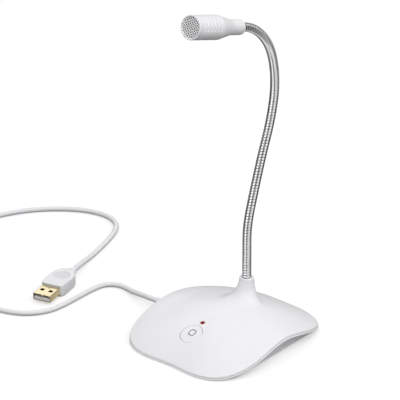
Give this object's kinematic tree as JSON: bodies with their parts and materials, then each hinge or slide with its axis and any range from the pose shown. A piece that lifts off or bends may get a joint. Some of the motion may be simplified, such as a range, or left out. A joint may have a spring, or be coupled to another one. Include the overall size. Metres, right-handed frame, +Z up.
{
  "type": "desktop microphone",
  "caption": "Desktop microphone: domed weighted base with arched sides, push button and lamp, bendable wound gooseneck, slim head with perforated grille, and a corded plug.",
  "frame": {"origin": "middle of the base on the table", "axes": "+Z up, -Y towards the speaking user, +X to the right"},
  "size_m": [0.2682, 0.1447, 0.2193],
  "materials": {
    "white_plastic": "satin moulded",
    "cord_white": "satin soft plastic",
    "rubber": "matte",
    "steel": "plain",
    "ballast": "cut plate",
    "chrome": "bright, wound wire",
    "board": "lacquered board",
    "board_parts": "moulded",
    "red_lens": "clear tinted",
    "foam": "open foam",
    "tie": "matte",
    "gold": "gold plated",
    "dark_plastic": "matte"
  },
  "bodies": {
    "base": {"top_shell": "white_plastic", "bottom_cover": "white_plastic", "rubber_feet": "rubber", "cover_screws": "steel", "ballast_plate": "ballast", "circuit_board": "board", "board_parts": "board_parts", "board_screws": "steel", "push_switch": "board_parts", "status_lamp": "red_lens", "neck_ferrule": "steel", "neck_washer": "steel", "neck_nut": "steel", "neck_foot": "chrome", "strain_relief": "cord_white", "cord_run": "cord_white", "cord_coil": "cord_white", "cord_tie": "tie", "cord_return": "cord_white", "plug_relief": "cord_white", "plug_grip": "cord_white", "plug_shell": "gold", "plug_tongue": "dark_plastic", "plug_contacts": "gold"},
    "neck_1": {"neck_link_1": "chrome"},
    "neck_2": {"neck_link_2": "chrome"},
    "neck_3": {"neck_link_3": "chrome"},
    "neck_4": {"neck_link_4": "chrome"},
    "neck_5": {"neck_link_5": "chrome"},
    "neck_6": {"neck_link_6": "chrome"},
    "neck_7": {"neck_link_7": "chrome"},
    "neck_8": {"neck_link_8": "chrome"},
    "head": {"neck_link_9": "chrome", "neck_bush": "steel", "head_shell": "white_plastic", "grille": "steel", "foam_disc": "foam", "mic_capsule": "steel", "capsule_holder": "rubber"},
    "button": {"button_cap": "white_plastic", "switch_plunger": "board_parts"}
  },
  "joints": [
    {"name": "neck_bend_1", "type": "hinge", "parent": "base", "child": "neck_1", "pos_m": [0, 0.018, 0.0484], "axis": [1, 0, 0], "range_deg": [-30, 30]},
    {"name": "neck_bend_2", "type": "hinge", "parent": "neck_1", "child": "neck_2", "pos_m": [0, 0.018, 0.0669], "axis": [0, 0.9563, -0.2924], "range_deg": [-25, 25]},
    {"name": "neck_bend_3", "type": "hinge", "parent": "neck_2", "child": "neck_3", "pos_m": [0, 0.02443, 0.08794], "axis": [1, 0, 0], "range_deg": [-30, 30]},
    {"name": "neck_bend_4", "type": "hinge", "parent": "neck_3", "child": "neck_4", "pos_m": [0, 0.03139, 0.10934], "axis": [0, 0.9304, -0.3665], "range_deg": [-25, 25]},
    {"name": "neck_bend_5", "type": "hinge", "parent": "neck_4", "child": "neck_5", "pos_m": [0, 0.03872, 0.12795], "axis": [1, 0, 0], "range_deg": [-30, 30]},
    {"name": "neck_bend_6", "type": "hinge", "parent": "neck_5", "child": "neck_6", "pos_m": [0, 0.04308, 0.14849], "axis": [0, 0.9954, 0.0958], "range_deg": [-25, 25]},
    {"name": "neck_bend_7", "type": "hinge", "parent": "neck_6", "child": "neck_7", "pos_m": [0, 0.04126, 0.1674], "axis": [1, 0, 0], "range_deg": [-40, 15]},
    {"name": "neck_bend_8", "type": "hinge", "parent": "neck_7", "child": "neck_8", "pos_m": [0, 0.03545, 0.18177], "axis": [0, 0.7133, 0.7009], "range_deg": [-25, 25]},
    {"name": "neck_bend_9", "type": "hinge", "parent": "neck_8", "child": "head", "pos_m": [0, 0.02284, 0.19461], "axis": [1, 0, 0], "range_deg": [-40, 15]},
    {"name": "button_press", "type": "slide", "parent": "base", "child": "button", "axis": [0, 0, -1], "range_m": [0, 0.0005], "stiffness_N_per_m": 800}
  ]
}
